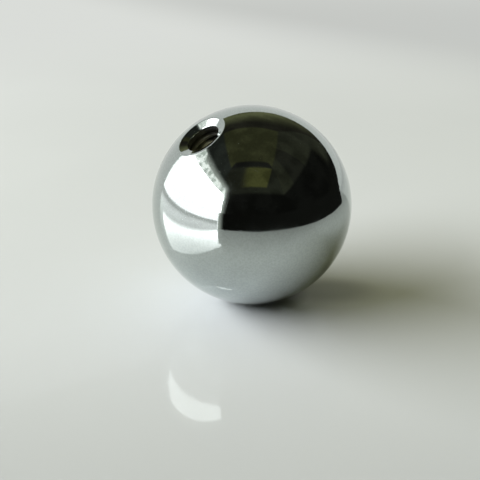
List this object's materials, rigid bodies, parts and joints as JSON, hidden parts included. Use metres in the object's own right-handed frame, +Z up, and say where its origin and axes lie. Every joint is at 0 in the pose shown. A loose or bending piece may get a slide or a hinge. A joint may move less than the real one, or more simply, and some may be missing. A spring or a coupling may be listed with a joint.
{
  "type": "tapped steel ball",
  "caption": "Solid polished steel ball with a blind tapped hole that opens in a shallow dished lip, made to screw onto a stud or screw.",
  "frame": {"origin": "centre of the ball", "axes": "+Z up and -Y to the front. The hole's axis passes through the origin in the YZ plane and leans 35 degrees from +Z towards -Y, as the ball lies on a table. X is square to the part's plane of symmetry."},
  "size_m": [0.03, 0.03, 0.03],
  "materials": {
    "polished_steel": "mirror polish over the ball and the lip, and a dull machined bore"
  },
  "bodies": {
    "root": {"ball": "polished_steel"}
  },
  "joints": []
}
